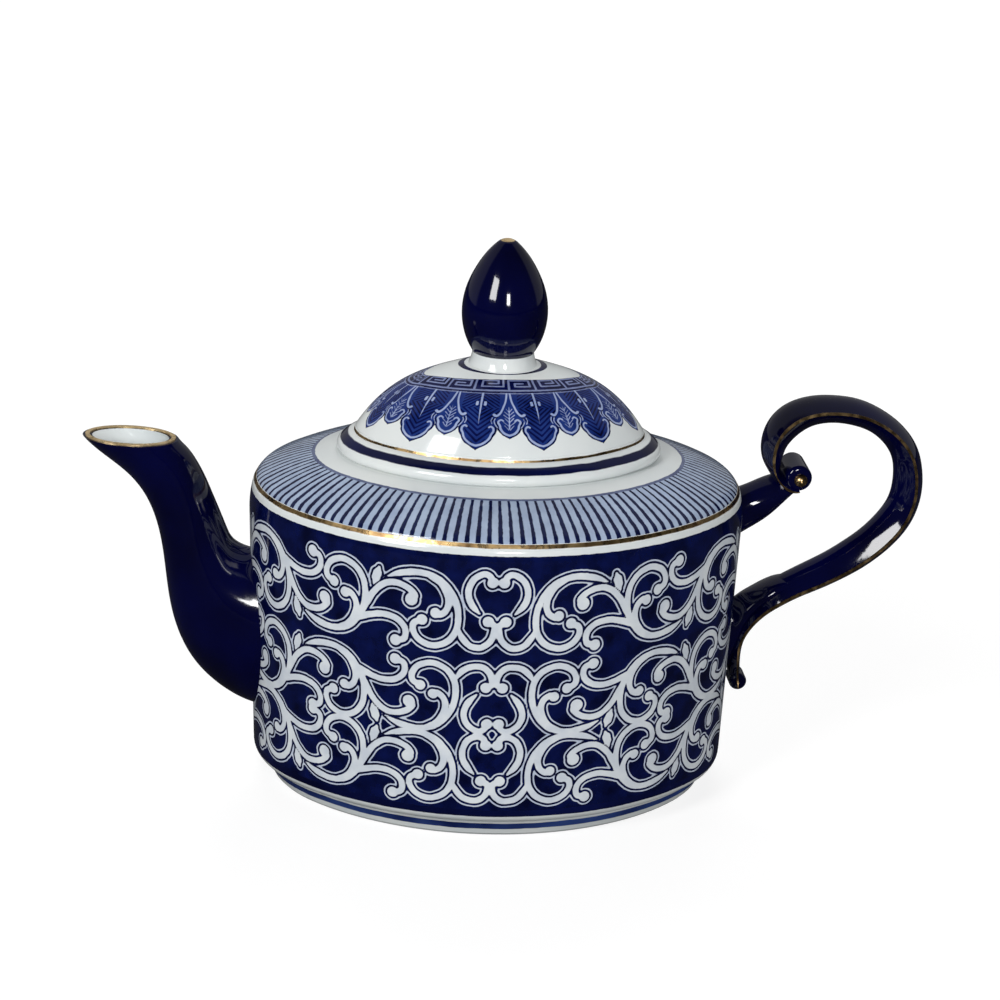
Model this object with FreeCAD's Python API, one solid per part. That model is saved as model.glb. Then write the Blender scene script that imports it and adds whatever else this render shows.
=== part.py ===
import FreeCAD, Part
import math
import os

# Oval porcelain teapot with a lift-off lid, in millimetres, +Z up.
# The origin lies on the table under the middle of the whole length, from the spout to the handle.
# The spout points to -X and the handle to +X.

Vector = FreeCAD.Vector

# Plan: every level of the pot is an oval of four arcs about the same four centres.
# The ovals are longer along X than along Y by OVAL_DIFFERENCE at each end.
# The pot's own axis stands at POT_AXIS along X, because the handle reaches further than the spout.
OVAL_DIFFERENCE = 13.5
END_CENTER = 24.6
POT_AXIS = -3.0

# Pot body: half lengths along X, and heights above the table
FOOT_HALF_LENGTH = 68.1
FOOT_TOP_HALF_LENGTH = 70.6
FOOT_HEIGHT = 6.0
FOOT_EDGE_ROUND = 0.8
FOOT_RING_WIDTH = 6.0
FOOT_RECESS_DEPTH = 4.0
COVE_HEIGHT = 4.8
WALL_BOTTOM_HALF_LENGTH = 74.2
WALL_TOP_HALF_LENGTH = 76.9
WALL_TOP_HEIGHT = 86.0
SHOULDER_LINE_HALF_LENGTH = 75.5
SHOULDER_LINE_DROP = 10.0
SHOULDER_RING_HALF_LENGTH = 57.6
SHOULDER_RING_DROP = 1.3
SHOULDER_FULLNESS = 0.65
SEAT_HALF_LENGTH = 50.2
SEAT_HEIGHT = 106.0
WALL = 4.0
FLOOR = 4.5
FLOOR_CORNER = 4.0

# Lid: a domed cover with a rounded flange outside and a locating skirt inside
LID_OPENING_HALF_LENGTH = 46.0
LID_CLEARANCE = 0.8
SKIRT_DEPTH = 9.0
FLANGE_HALF_LENGTH = 50.4
FLANGE_EDGE_ROUND = 1.2
FLANGE_ROLL_HEIGHT = 3.6
FLANGE_HEIGHT = 6.4
FLANGE_SWELL = 0.25
DOME_HALF_LENGTH = 45.1
DOME_RISE = 22.1
DOME_FULLNESS = 3.6
DOME_CROWN_SLOPE = 0.42
CROWN_ROUNDING = 0.8
LID_WALL = 3.5
LID_TOP_RADIUS = 10.8

# Finial: a pointed bud on a flared collar
COLLAR_RADIUS = 10.6
COLLAR_HEIGHT = 4.0
COLLAR_HOLLOW = 0.2
NECK_RADIUS = 9.5
BUD_RADIUS = 13.25
BUD_BELLY_HEIGHT = 12.4
BUD_HEIGHT = 34.6
TIP_RADIUS = 2.8
TIP_HEIGHT = 0.9
# The bud's taper above its belly, as (share of the height left, share of the narrowing)
BUD_TAPER = [(0.3, 0.085), (0.6, 0.346), (0.82, 0.642), (1.0, 1.0)]

# Spout: each station is (outer reach, outer height, inner reach, inner height, half width).
# A reach is measured from the widest part of the pot's wall.
SPOUT_STATIONS = [
    (-6.0, 22.0, -6.0, 72.0, 15.5),
    (11.5, 31.0, 6.0, 77.8, 14.2),
    (20.8, 44.2, 8.0, 82.6, 12.8),
    (25.0, 60.0, 10.1, 87.8, 11.3),
    (26.9, 74.0, 12.1, 92.6, 10.1),
    (29.7, 85.2, 14.2, 97.4, 9.4),
    (34.2, 93.9, 16.8, 102.2, 9.3),
    (41.8, 101.6, 19.5, 105.9, 9.8),
    (51.6, 110.2, 22.3, 109.0, 10.6),
]
SPOUT_WALL = 2.8
STRAINER_HOLE_DIAMETER = 5.0
STRAINER_HEIGHT = 50.0
STRAINER_RING_RADIUS = 9.5
STRAINER_RING_HOLES = 6

# Handle: the middle line of the strap from its tail on the wall, round the loop, into the curl,
# as (reach from the widest part of the wall, height)
STRAP_LINE = [
    (1.8, 29.2), (1.2, 34.5), (0.7, 41.0), (2.6, 48.5), (8.8, 56.2), (17.8, 62.2), (27.6, 67.1),
    (38.0, 73.4), (47.0, 81.6), (52.0, 90.4), (52.9, 98.0), (51.3, 106.6), (45.6, 114.1),
    (37.0, 119.0), (27.4, 120.6), (17.8, 118.9), (11.4, 113.6), (9.2, 106.6), (10.6, 100.2),
    (13.4, 97.2), (17.2, 96.2),
]
# Thickness and width of the strap along that line, as (share of its length, share of the full size)
STRAP_THICKNESS = [(0.0, 0.4), (0.08, 0.7), (0.2, 1.1), (0.37, 1.36), (0.45, 1.38), (0.55, 1.22), (0.66, 1.0),
                   (0.78, 1.1), (0.85, 1.3), (0.9, 1.05), (0.94, 0.65), (1.0, 0.3)]
STRAP_BREADTH = [(0.0, 0.75), (0.12, 0.85), (0.3, 1.0), (1.0, 1.0)]
STRAP_WIDTH = 17.0
STRAP_EDGE = 0.9
STRAP_CROWN = 2.4
STRAP_BELLY = 4.4
STRAP_SECTIONS = 28
ROLL_REACH = 16.9
ROLL_HEIGHT = 100.1
ROLL_RADIUS = 4.1
ROLL_INSET = 0.5
ROLL_EDGE_ROUND = 1.4
TAIL_REACH = 2.4
TAIL_HEIGHT = 30.6
TAIL_RADIUS = 2.8
TAIL_HALF_WIDTH = 4.6
# The stay from the wall to the curl: (reach, height, half height, half width)
STAY_STATIONS = [(-7.0, 85.5, 9.5, 8.6), (0.0, 87.3, 7.5, 7.4), (3.6, 89.2, 7.2, 6.8),
                 (8.0, 91.7, 6.6, 6.8), (13.0, 94.8, 4.4, 7.2), (16.6, 97.2, 2.6, 7.2)]
# The root that fills the corner between the wall and the lower end of the strap, in the same terms
ROOT_STATIONS = [(-7.0, 45.5, 10.9, 6.2), (0.0, 47.4, 10.4, 6.4), (3.0, 53.3, 6.4, 6.6),
                 (6.0, 57.0, 4.3, 6.6), (11.0, 60.7, 3.2, 6.4), (16.0, 63.1, 2.0, 5.2)]

# Gilding
GILT_THICKNESS = 0.4
GILT_PROUD = 0.12
SHOULDER_GILT_WIDTH = 1.6
SHOULDER_GILT_LEAN = 0.45
LID_GILT_WIDTH = 1.0
RIM_GILT_WIDTH = 1.3
RIM_GILT_INSET = 0.8
BEAD_RADIUS = 2.1
BEAD_SHIFT = 0.4

# Centres of the oval's side arcs, and how much wider their radius is than the end arcs' radius
SIDE_CENTER = OVAL_DIFFERENCE * (2 * END_CENTER - OVAL_DIFFERENCE) / (2 * (END_CENTER - OVAL_DIFFERENCE))
ARC_DIFFERENCE = math.hypot(END_CENTER, SIDE_CENTER)
END_HALF_ANGLE = math.degrees(math.atan2(SIDE_CENTER, END_CENTER))


# Shared shapes

def arc_plan(shrink=1.0):
    """The four arcs of an oval: (centre, radius less the half length, start angle, end angle)."""
    end = END_CENTER * shrink
    side = SIDE_CENTER * shrink
    wider = (ARC_DIFFERENCE - END_CENTER) * shrink
    turn = END_HALF_ANGLE
    return [(Vector(end, 0, 0), -end, -turn, turn),
            (Vector(0, -side, 0), wider, turn, 180 - turn),
            (Vector(-end, 0, 0), -end, 180 - turn, 180 + turn),
            (Vector(0, side, 0), wider, 180 + turn, 360 - turn)]


def oval(length, height, shrink=1.0):
    """A horizontal oval of four arcs, given by its half length. At a shrink of zero it is a circle."""
    edges = []
    for center, offset, start, end in arc_plan(shrink):
        points = []
        for angle in (start, (start + end) / 2, end):
            turn = math.radians(angle)
            points.append(center + Vector(math.cos(turn), math.sin(turn), 0) * (length + offset)
                          + Vector(0, 0, height))
        edges.append(Part.Arc(*points).toShape())
    return Part.Wire(edges)


def oval_plate(length, low, high):
    """A straight-sided oval plate between two heights."""
    return Part.Face(oval(length, low)).extrude(Vector(0, 0, high - low))


def oval_ring(edges):
    """Carries a closed outline of (half length, height) round the oval."""
    section = Part.Face(Part.Wire(edges))
    sectors = []
    for center, offset, start, end in arc_plan():
        piece = section.translated(Vector(offset, 0, 0))
        piece.rotate(Vector(), Vector(0, 0, 1), start)
        piece.translate(center)
        sectors.append(piece.revolve(center, Vector(0, 0, 1), end - start))
    return sectors[0].fuse(sectors[1:]).removeSplitter()


def lines(points):
    """Straight edges through (half length, height) points."""
    places = [Vector(length, 0, height) for length, height in points]
    return [Part.makeLine(first, second) for first, second in zip(places, places[1:])]


def arc(start, middle, end):
    """One circular edge through three (half length, height) points."""
    return [Part.Arc(*[Vector(length, 0, height) for length, height in (start, middle, end)]).toShape()]


def curve(points):
    """One smooth edge through (half length, height) points."""
    spline = Part.BSplineCurve()
    spline.interpolate([Vector(length, 0, height) for length, height in points])
    return [spline.toShape()]


def upright_oval(low, high, half_width):
    """An oval across the X-Z plane, with its ends at two points of that plane."""
    middle = (low + high) * 0.5
    along = (high - low) * 0.5
    across = Vector(0, half_width, 0)
    normal = along.cross(across).normalize()
    frame = FreeCAD.Matrix(along.x, across.x, normal.x, middle.x,
                           along.y, across.y, normal.y, middle.y,
                           along.z, across.z, normal.z, middle.z,
                           0, 0, 0, 1)
    return Part.Wire(Part.Circle().toShape()).transformGeometry(frame)


def loft(wires, solid=True):
    """A smooth loft through closed wires."""
    return Part.makeLoft(wires, solid, False, False, 3)


def flat_ring(outer, inner):
    return Part.makeFace([outer, inner], "Part::FaceMakerBullseye")


def hollow_loft(outer_wires, inner_wires):
    """A tube between two lofts that run side by side, closed at both ends."""
    faces = loft(outer_wires, False).Faces + loft(inner_wires, False).Faces
    for end in (0, -1):
        faces += flat_ring(outer_wires[end], inner_wires[end]).Faces
    shell = Part.Shell(faces)
    shell.sewShape()
    tube = Part.Solid(shell)
    if tube.Volume < 0:
        tube.reverse()
    return tube


def inset(profile, depth):
    """Moves an upward profile of (half length, height) inwards along its normal."""
    moved = []
    last = len(profile) - 1
    for index, (length, height) in enumerate(profile):
        before = profile[max(index - 1, 0)]
        after = profile[min(index + 1, last)]
        out = after[1] - before[1]
        up = before[0] - after[0]
        size = math.hypot(out, up)
        moved.append((length - depth * out / size, height - depth * up / size))
    return moved


def level(points, depth):
    """Moves points level inwards."""
    return [(length - depth, height) for length, height in points]


def gilt_ring(band):
    """A thin gilt line that fills its bed and stands a little proud of it."""
    outline = level(band, -GILT_PROUD) + level(band[::-1], GILT_THICKNESS)
    return oval_ring(lines(outline + outline[:1]))


def bedded(band):
    """The outline of the clay under a gilt line."""
    return band[:1] + level(band, GILT_THICKNESS) + band[1:]


def blend(pairs, share):
    """Straight-line value at a share of the way along (share, value) pairs."""
    for (start, low), (end, high) in zip(pairs, pairs[1:]):
        if share <= end:
            return low + (high - low) * (share - start) / (end - start)
    return pairs[-1][1]


# Pot body

COVE_TOP = FOOT_HEIGHT + COVE_HEIGHT
FLOOR_HEIGHT = FOOT_RECESS_DEPTH + FLOOR
FLOOR_PLATE_HALF_LENGTH = END_CENTER + WALL
SHOULDER_RING_HEIGHT = SEAT_HEIGHT - SHOULDER_RING_DROP
SHOULDER_LINE_HEIGHT = SEAT_HEIGHT - SHOULDER_LINE_DROP

FOOT_OUTLINE = [(FOOT_HALF_LENGTH - FOOT_EDGE_ROUND, 0.0), (FOOT_HALF_LENGTH, FOOT_EDGE_ROUND),
                (FOOT_TOP_HALF_LENGTH, FOOT_HEIGHT)]

COVE_MIDDLE = (FOOT_TOP_HALF_LENGTH + 0.75 * (WALL_BOTTOM_HALF_LENGTH - FOOT_TOP_HALF_LENGTH),
               FOOT_HEIGHT + 0.3 * COVE_HEIGHT)

SHOULDER_GILT_BAND = [
    (SHOULDER_LINE_HALF_LENGTH + SHOULDER_GILT_LEAN, SHOULDER_LINE_HEIGHT - SHOULDER_GILT_WIDTH / 2),
    (SHOULDER_LINE_HALF_LENGTH - SHOULDER_GILT_LEAN, SHOULDER_LINE_HEIGHT + SHOULDER_GILT_WIDTH / 2),
]

WALL_BOTTOM = (WALL_BOTTOM_HALF_LENGTH, COVE_TOP)
WALL_TOP = (WALL_TOP_HALF_LENGTH, WALL_TOP_HEIGHT)
SEAT = (SEAT_HALF_LENGTH, SEAT_HEIGHT)


def round_over():
    """The middle of the arc that rounds the wall over towards the gilt line."""
    end_length, end_height = SHOULDER_GILT_BAND[0]
    return (WALL_TOP_HALF_LENGTH + 0.25 * (end_length - WALL_TOP_HALF_LENGTH),
            WALL_TOP_HEIGHT + 0.6 * (end_height - WALL_TOP_HEIGHT))


def shoulder_point(share):
    """A place on the shoulder, from the gilt line to the ring painted round it."""
    start_length, start_height = SHOULDER_GILT_BAND[1]
    rise = share ** SHOULDER_FULLNESS * (SHOULDER_RING_HEIGHT - start_height)
    return (start_length + share * (SHOULDER_RING_HALF_LENGTH - start_length), start_height + rise)


SHOULDER_POINTS = [shoulder_point(share) for share in (0.0, 0.06, 0.16, 1.0)] + [SEAT]


def shoulder_edges(points):
    """A tight arc over the edge of the shoulder, then a wide one up to the lid's seat."""
    return arc(*points[:3]) + arc(*points[2:])


def make_pot_form():
    """The plain form of the wall and shoulder, which trims the roots of the spout and handle."""
    edges = lines([WALL_BOTTOM, WALL_TOP]) + arc(WALL_TOP, round_over(), SHOULDER_GILT_BAND[0])
    edges += lines(SHOULDER_GILT_BAND) + shoulder_edges(SHOULDER_POINTS)
    return oval_ring(edges + lines([SEAT, (FLOOR_PLATE_HALF_LENGTH, SEAT_HEIGHT),
                                    (FLOOR_PLATE_HALF_LENGTH, COVE_TOP), WALL_BOTTOM]))


def make_strainer():
    """The holes through the wall behind the spout, one in the middle and a ring round it."""
    places = [(0.0, STRAINER_HEIGHT)]
    for index in range(STRAINER_RING_HOLES):
        angle = 2 * math.pi * index / STRAINER_RING_HOLES
        places.append((STRAINER_RING_RADIUS * math.sin(angle),
                       STRAINER_HEIGHT + STRAINER_RING_RADIUS * math.cos(angle)))
    start = -WALL_TOP_HALF_LENGTH - WALL
    holes = []
    for across, height in places:
        holes.append(Part.makeCylinder(STRAINER_HOLE_DIAMETER / 2, 4 * WALL,
                                       Vector(start, across, height), Vector(1, 0, 0)))
    return Part.makeCompound(holes)


def make_pot_body():
    """The wall's whole section carried round the oval, with a floor plate in the middle."""
    inner = inset([WALL_BOTTOM, WALL_TOP, round_over()] + SHOULDER_POINTS[2:], WALL)
    foot_inside = FOOT_HALF_LENGTH - FOOT_RING_WIDTH
    corner_top = (inner[0][0], FLOOR_HEIGHT + FLOOR_CORNER)
    corner_cut = FLOOR_CORNER * (1 - math.sqrt(0.5))
    corner_middle = (inner[0][0] - corner_cut, FLOOR_HEIGHT + corner_cut)
    corner_end = (inner[0][0] - FLOOR_CORNER, FLOOR_HEIGHT)
    edges = lines(FOOT_OUTLINE) + arc(FOOT_OUTLINE[-1], COVE_MIDDLE, WALL_BOTTOM)
    edges += lines([WALL_BOTTOM, WALL_TOP]) + arc(WALL_TOP, round_over(), SHOULDER_GILT_BAND[0])
    edges += lines(bedded(SHOULDER_GILT_BAND)) + shoulder_edges(SHOULDER_POINTS)
    edges += lines([SEAT, (LID_OPENING_HALF_LENGTH, SEAT_HEIGHT), (LID_OPENING_HALF_LENGTH, inner[5][1])]
                   + inner[:0:-1] + [corner_top])
    edges += arc(corner_top, corner_middle, corner_end)
    edges += lines([corner_end, (FLOOR_PLATE_HALF_LENGTH, FLOOR_HEIGHT),
                    (FLOOR_PLATE_HALF_LENGTH, FOOT_RECESS_DEPTH), (foot_inside, FOOT_RECESS_DEPTH),
                    (foot_inside, 0.0), FOOT_OUTLINE[0]])
    floor = oval_plate(FLOOR_PLATE_HALF_LENGTH, FOOT_RECESS_DEPTH, FLOOR_HEIGHT)
    return oval_ring(edges).fuse(floor).removeSplitter().cut(make_strainer())


# Lid

DOME_HEIGHT = SEAT_HEIGHT + FLANGE_HEIGHT
LID_TOP_HEIGHT = DOME_HEIGHT + DOME_RISE

FLANGE_BOTTOM = (FLANGE_HALF_LENGTH - FLANGE_EDGE_ROUND, SEAT_HEIGHT)
FLANGE_EDGE = (FLANGE_HALF_LENGTH, SEAT_HEIGHT + 0.45 * FLANGE_ROLL_HEIGHT)
FLANGE_ROLL_END = (FLANGE_HALF_LENGTH - 0.75 * FLANGE_EDGE_ROUND, SEAT_HEIGHT + FLANGE_ROLL_HEIGHT)
FLANGE_SLOPE_MIDDLE = ((FLANGE_ROLL_END[0] + DOME_HALF_LENGTH) / 2 + FLANGE_SWELL,
                       (FLANGE_ROLL_END[1] + DOME_HEIGHT) / 2 + FLANGE_SWELL)

LID_GILT_BAND = [(DOME_HALF_LENGTH, DOME_HEIGHT),
                 (DOME_HALF_LENGTH - GILT_THICKNESS, DOME_HEIGHT + LID_GILT_WIDTH)]


def dome_outline():
    """The dome's long half section from the gilt line to the finial's collar, as (share, point) pairs."""
    start_length, start_height = LID_GILT_BAND[1]
    outline = []
    for share in (0.0, 0.06, 0.14, 0.25, 0.37, 0.5, 0.65, 0.83, 1.0):
        full = 1 - (1 - share) ** DOME_FULLNESS
        rise = DOME_CROWN_SLOPE * share + (1 - DOME_CROWN_SLOPE) * full
        outline.append((share, (start_length + share * (LID_TOP_RADIUS - start_length),
                                start_height + rise * (LID_TOP_HEIGHT - start_height))))
    return outline


def make_lid():
    """The dome starts as the pot's oval and turns round towards the finial's collar."""
    shares = [share for share, point in dome_outline()]
    outer = [point for share, point in dome_outline()]
    inner = inset(outer, LID_WALL)
    dome = loft([oval(*point, (1 - share) ** CROWN_ROUNDING) for share, point in zip(shares, outer)])
    hollow = loft([oval(*point, (1 - share) ** CROWN_ROUNDING) for share, point in zip(shares, inner)])
    skirt = LID_OPENING_HALF_LENGTH - LID_CLEARANCE
    skirt_bottom = SEAT_HEIGHT - SKIRT_DEPTH
    throat = inner[0][0]
    edges = lines([(throat, skirt_bottom), (skirt, skirt_bottom), (skirt, SEAT_HEIGHT), FLANGE_BOTTOM])
    edges += arc(FLANGE_BOTTOM, FLANGE_EDGE, FLANGE_ROLL_END)
    edges += arc(FLANGE_ROLL_END, FLANGE_SLOPE_MIDDLE, LID_GILT_BAND[0]) + lines(bedded(LID_GILT_BAND))
    edges += lines([LID_GILT_BAND[1], (throat, LID_GILT_BAND[1][1]), (throat, skirt_bottom)])
    return oval_ring(edges).fuse(dome.cut(hollow)).cut(oval_plate(throat, skirt_bottom, inner[0][1]))


# Finial

NECK_HEIGHT = LID_TOP_HEIGHT + COLLAR_HEIGHT
BUD_TOP_HEIGHT = NECK_HEIGHT + BUD_HEIGHT


def turned(edges):
    """A solid turned about the pot's axis from a closed outline."""
    return Part.Face(Part.Wire(edges)).revolve(Vector(), Vector(0, 0, 1), 360)


def make_finial():
    """The collar's hollow curve and the bud's pointed curve, turned about the pot's axis."""
    belly_height = NECK_HEIGHT + BUD_BELLY_HEIGHT
    collar = [(COLLAR_RADIUS, LID_TOP_HEIGHT),
              ((COLLAR_RADIUS + NECK_RADIUS) / 2 - COLLAR_HOLLOW, (LID_TOP_HEIGHT + NECK_HEIGHT) / 2),
              (NECK_RADIUS, NECK_HEIGHT)]
    bud = [(NECK_RADIUS, NECK_HEIGHT),
           (NECK_RADIUS + 0.72 * (BUD_RADIUS - NECK_RADIUS), NECK_HEIGHT + 0.45 * BUD_BELLY_HEIGHT),
           (BUD_RADIUS, belly_height)]
    for share, narrowing in BUD_TAPER:
        bud.append((BUD_RADIUS - narrowing * (BUD_RADIUS - TIP_RADIUS),
                    belly_height + share * (BUD_TOP_HEIGHT - belly_height)))
    base = [(0.0, LID_TOP_HEIGHT), collar[0]]
    top = [bud[-1], (0.0, BUD_TOP_HEIGHT), (0.0, LID_TOP_HEIGHT)]
    return turned(lines(base) + curve(collar) + curve(bud) + lines(top))


def make_finial_gilt():
    """A low gilt dome on the flat end of the bud."""
    rim = Vector(TIP_RADIUS, 0, BUD_TOP_HEIGHT)
    top = Vector(0, 0, BUD_TOP_HEIGHT + TIP_HEIGHT)
    ball_radius = (TIP_RADIUS ** 2 + TIP_HEIGHT ** 2) / (2 * TIP_HEIGHT)
    half_turn = math.atan2(TIP_RADIUS, ball_radius - TIP_HEIGHT) / 2
    middle = top + Vector(ball_radius * math.sin(half_turn), 0, ball_radius * (math.cos(half_turn) - 1))
    return turned([Part.Arc(rim, middle, top).toShape()]
                  + lines([(0.0, top.z), (0.0, BUD_TOP_HEIGHT), (TIP_RADIUS, BUD_TOP_HEIGHT)]))


# Spout

def spout_ends():
    """The two ends of each station's oval in the X-Z plane, with its half width."""
    ends = []
    for out_reach, out_height, in_reach, in_height, half_width in SPOUT_STATIONS:
        ends.append((Vector(-WALL_TOP_HALF_LENGTH - out_reach, 0, out_height),
                     Vector(-WALL_TOP_HALF_LENGTH - in_reach, 0, in_height), half_width))
    return ends


def spout_wires(depth):
    """Ovals along the spout, moved inwards by a depth."""
    wires = []
    for outer, inner, half_width in spout_ends():
        step = (inner - outer).normalize() * depth
        wires.append(upright_oval(outer + step, inner - step, half_width - depth))
    return wires


def make_spout(pot_form):
    return hollow_loft(spout_wires(0.0), spout_wires(SPOUT_WALL)).cut(pot_form)


def make_rim_gilt():
    """A flat gilt ring on top of the spout's rim."""
    outer, inner, half_width = spout_ends()[-1]
    along = (inner - outer).normalize()
    upward = Vector(-along.z, 0, along.x)
    ring = flat_ring(spout_wires(RIM_GILT_INSET)[-1], spout_wires(RIM_GILT_INSET + RIM_GILT_WIDTH)[-1])
    return ring.extrude(upward * GILT_THICKNESS)


# Handle

def strap_frames():
    """Places along the strap: (middle, outward direction, half width, half edge, thickness)."""
    line = Part.BSplineCurve()
    line.interpolate([Vector(WALL_TOP_HALF_LENGTH + reach, 0, height) for reach, height in STRAP_LINE])
    frames = []
    for index, point in enumerate(line.toShape().discretize(STRAP_SECTIONS)):
        share = index / (STRAP_SECTIONS - 1)
        along = line.tangent(line.parameter(point))[0]
        outward = Vector(along.z, 0, -along.x)
        thickness = blend(STRAP_THICKNESS, share)
        lift = (STRAP_BELLY - STRAP_CROWN) / 2 * thickness
        frames.append((point + outward * lift, outward, STRAP_WIDTH / 2 * blend(STRAP_BREADTH, share),
                       STRAP_EDGE / 2 * min(thickness, 1.0), thickness))
    return frames


def bow(start, top, end):
    """A parabola from start to end that passes through the top at its middle."""
    arch = Part.BezierCurve()
    arch.setPoles([start, top * 2 - (start + end) * 0.5, end])
    return arch.toShape()


def strap_section(middle, outward, half_width, half_edge, thickness):
    """A shallow crown outside, a deep belly inside, and a narrow flat along each edge."""
    side = Vector(0, half_width - GILT_THICKNESS, 0)
    edge = outward * half_edge
    crown = middle + outward * (half_edge + STRAP_CROWN * thickness)
    belly = middle - outward * (half_edge + STRAP_BELLY * thickness)
    return Part.Wire([bow(middle + side + edge, crown, middle - side + edge),
                      Part.makeLine(middle - side + edge, middle - side - edge),
                      bow(middle - side - edge, belly, middle + side - edge),
                      Part.makeLine(middle + side - edge, middle + side + edge)])


def make_strap():
    return loft([strap_section(*frame) for frame in strap_frames()])


def make_strap_gilt(strap, side, pot_form):
    """The gilt line, raised from the narrow flat along one edge of the strap."""
    edge = max(strap.Faces, key=lambda face: side * face.CenterOfMass.y)
    return edge.extrude(Vector(0, side * GILT_THICKNESS, 0)).cut(pot_form)


ROLL_HALF_WIDTH = STRAP_WIDTH / 2 - ROLL_INSET


def make_roll(reach, height, radius, half_width):
    """A short bar across the strap with rounded ends."""
    bar = Part.makeCylinder(radius, 2 * half_width, Vector(WALL_TOP_HALF_LENGTH + reach, -half_width, height),
                            Vector(0, 1, 0))
    rims = [edge for edge in bar.Edges if abs(edge.CenterOfMass.y) > half_width - ROLL_EDGE_ROUND]
    return bar.makeFillet(ROLL_EDGE_ROUND, rims)


def make_bridge(stations, pot_form):
    """Clay between the wall and the strap, through a row of upright ovals."""
    wires = []
    for reach, height, half_height, half_width in stations:
        middle = Vector(WALL_TOP_HALF_LENGTH + reach, 0, height)
        rise = Vector(0, 0, half_height)
        wires.append(upright_oval(middle - rise, middle + rise, half_width))
    return loft(wires).cut(pot_form)


def make_handle(strap, pot_form):
    """The strap with a roll at each end, its root on the wall, and the stay from the wall to the curl."""
    curl = make_roll(ROLL_REACH, ROLL_HEIGHT, ROLL_RADIUS, ROLL_HALF_WIDTH)
    tail = make_roll(TAIL_REACH, TAIL_HEIGHT, TAIL_RADIUS, TAIL_HALF_WIDTH)
    handle = strap.cut(pot_form).fuse(curl).fuse(make_bridge(STAY_STATIONS, pot_form))
    return handle.fuse(make_bridge(ROOT_STATIONS, pot_form)).fuse(tail)


def make_curl_beads():
    """A gilt bead on each end of the roll, a little nearer to the strap's tip than the roll's middle."""
    beads = []
    for side in (-1, 1):
        middle = Vector(WALL_TOP_HALF_LENGTH + ROLL_REACH + BEAD_SHIFT, side * ROLL_HALF_WIDTH,
                        ROLL_HEIGHT - BEAD_SHIFT)
        beads.append(Part.makeSphere(BEAD_RADIUS, middle, Vector(0, side, 0), 0, 90, 360))
    return Part.makeCompound(beads)


def main():
    os.makedirs("parts", exist_ok=True)
    pot_form = make_pot_form()
    strap = make_strap()
    pieces = {
        "pot_body": make_pot_body(),
        "spout": make_spout(pot_form),
        "handle": make_handle(strap, pot_form),
        "lid": make_lid(),
        "finial": make_finial(),
        "gilt_shoulder_line": gilt_ring(SHOULDER_GILT_BAND),
        "gilt_lid_line": gilt_ring(LID_GILT_BAND),
        "gilt_spout_rim": make_rim_gilt(),
        "gilt_finial_tip": make_finial_gilt(),
        "gilt_handle_line_front": make_strap_gilt(strap, -1, pot_form),
        "gilt_handle_line_back": make_strap_gilt(strap, 1, pot_form),
        "gilt_curl_beads": make_curl_beads(),
    }
    for name, shape in pieces.items():
        shape.translate(Vector(POT_AXIS, 0, 0))
        shape.exportStep(os.path.join("parts", name + ".step"))
        box = shape.optimalBoundingBox()
        print(name, "valid", shape.isValid(), "solids", len(shape.Solids), "volume", round(shape.Volume, 1),
              "x", round(box.XMin, 1), round(box.XMax, 1), "y", round(box.YMin, 1), round(box.YMax, 1),
              "z", round(box.ZMin, 1), round(box.ZMax, 1))


main()
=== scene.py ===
# %% [markdown]
# # An oval blue-and-white teapot
# The solids come from CAD and are already at their real size, in metres, with +Z up.
# This lesson dresses them. It lays thin painted skins on the solids for the scrollwork, the
# stripes, the key band and the leaves, and gives every surface a procedural glaze or gilding.

# %% Load the frame
import math

import bpy
import numpy as np
from mathutils import Matrix, Vector


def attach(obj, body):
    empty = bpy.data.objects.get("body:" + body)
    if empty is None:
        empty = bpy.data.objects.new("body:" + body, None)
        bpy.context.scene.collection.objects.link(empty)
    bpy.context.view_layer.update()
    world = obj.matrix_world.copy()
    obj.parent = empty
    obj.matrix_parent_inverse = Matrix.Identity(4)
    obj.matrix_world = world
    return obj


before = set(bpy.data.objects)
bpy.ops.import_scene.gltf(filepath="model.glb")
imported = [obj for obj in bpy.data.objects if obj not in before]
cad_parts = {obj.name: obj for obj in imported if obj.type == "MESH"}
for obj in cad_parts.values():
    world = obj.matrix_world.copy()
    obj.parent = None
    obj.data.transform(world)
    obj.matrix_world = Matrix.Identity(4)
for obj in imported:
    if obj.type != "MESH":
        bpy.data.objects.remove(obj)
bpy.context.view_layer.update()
MM = 0.001

# %% [markdown]
# Nearly every surface of the pot is fired clay under a gloss glaze, so the materials share a few
# small helpers. A picture could be wrapped round the pot instead, but it would blur up close and
# bring its own light with it. Here each material starts with one Principled shader, and noise in
# object space gives it a colour that drifts a little and stays fixed to the clay.

# %% A new finish and its drifting colour
NOISE_LOW = 0.3
NOISE_HIGH = 0.7


def new_finish(name):
    """A material with one Principled shader: returns (material, nodes, links, shader)."""
    material = bpy.data.materials.new(name)
    material.use_nodes = True
    nodes = material.node_tree.nodes
    return material, nodes, material.node_tree.links, nodes["Principled BSDF"]


def noise(nodes, links, scale, detail=3.0):
    """Object-space noise, with its scale in features per metre."""
    place = nodes.new("ShaderNodeTexCoord")
    texture = nodes.new("ShaderNodeTexNoise")
    texture.inputs["Scale"].default_value = scale
    texture.inputs["Detail"].default_value = detail
    links.new(place.outputs["Object"], texture.inputs["Vector"])
    return texture.outputs["Fac"]


def mottled(nodes, links, low, high, scale):
    """A colour that drifts between two shades."""
    node = nodes.new("ShaderNodeValToRGB")
    stops = [(NOISE_LOW, low), (NOISE_HIGH, high)]
    for mark, (position, colour) in zip(node.color_ramp.elements, stops):
        mark.position = position
        mark.color = (*colour, 1.0)
    links.new(noise(nodes, links, scale), node.inputs["Fac"])
    return node.outputs["Color"]


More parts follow.
